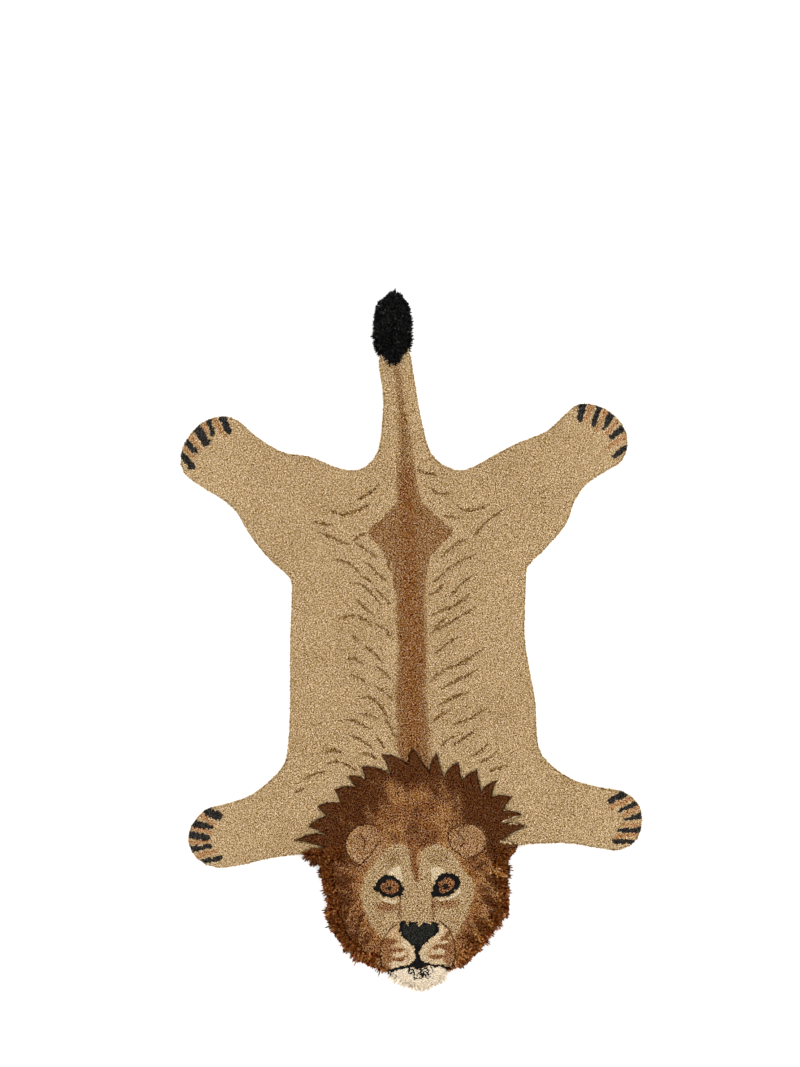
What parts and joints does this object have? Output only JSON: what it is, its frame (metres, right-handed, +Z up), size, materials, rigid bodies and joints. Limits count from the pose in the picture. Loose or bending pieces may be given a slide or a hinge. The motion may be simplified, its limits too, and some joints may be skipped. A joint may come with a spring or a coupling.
{
  "type": "lion shaped kids rug",
  "caption": "Flat tufted floor rug in the shape of a lion's skin, with four legs, a tail with a black shaggy end, and a head with a shaggy mane.",
  "frame": {"origin": "middle of the rug's underside, on the floor", "axes": "+Z up out of the pile, +Y from the chin to the tip of the tail, +X to the right when looking down with the tail up"},
  "size_m": [0.603, 0.9176, 0.0236],
  "materials": {
    "tan_pile": "cut wool pile, mottled tan",
    "mane_pile": "cut wool pile and shag, brown shades",
    "black_shag": "long black wool shag",
    "backing_cloth": "plain woven cotton backing"
  },
  "bodies": {
    "root": {"pelt": "tan_pile", "head_and_mane": "mane_pile", "tail_tuft": "black_shag"}
  },
  "joints": []
}
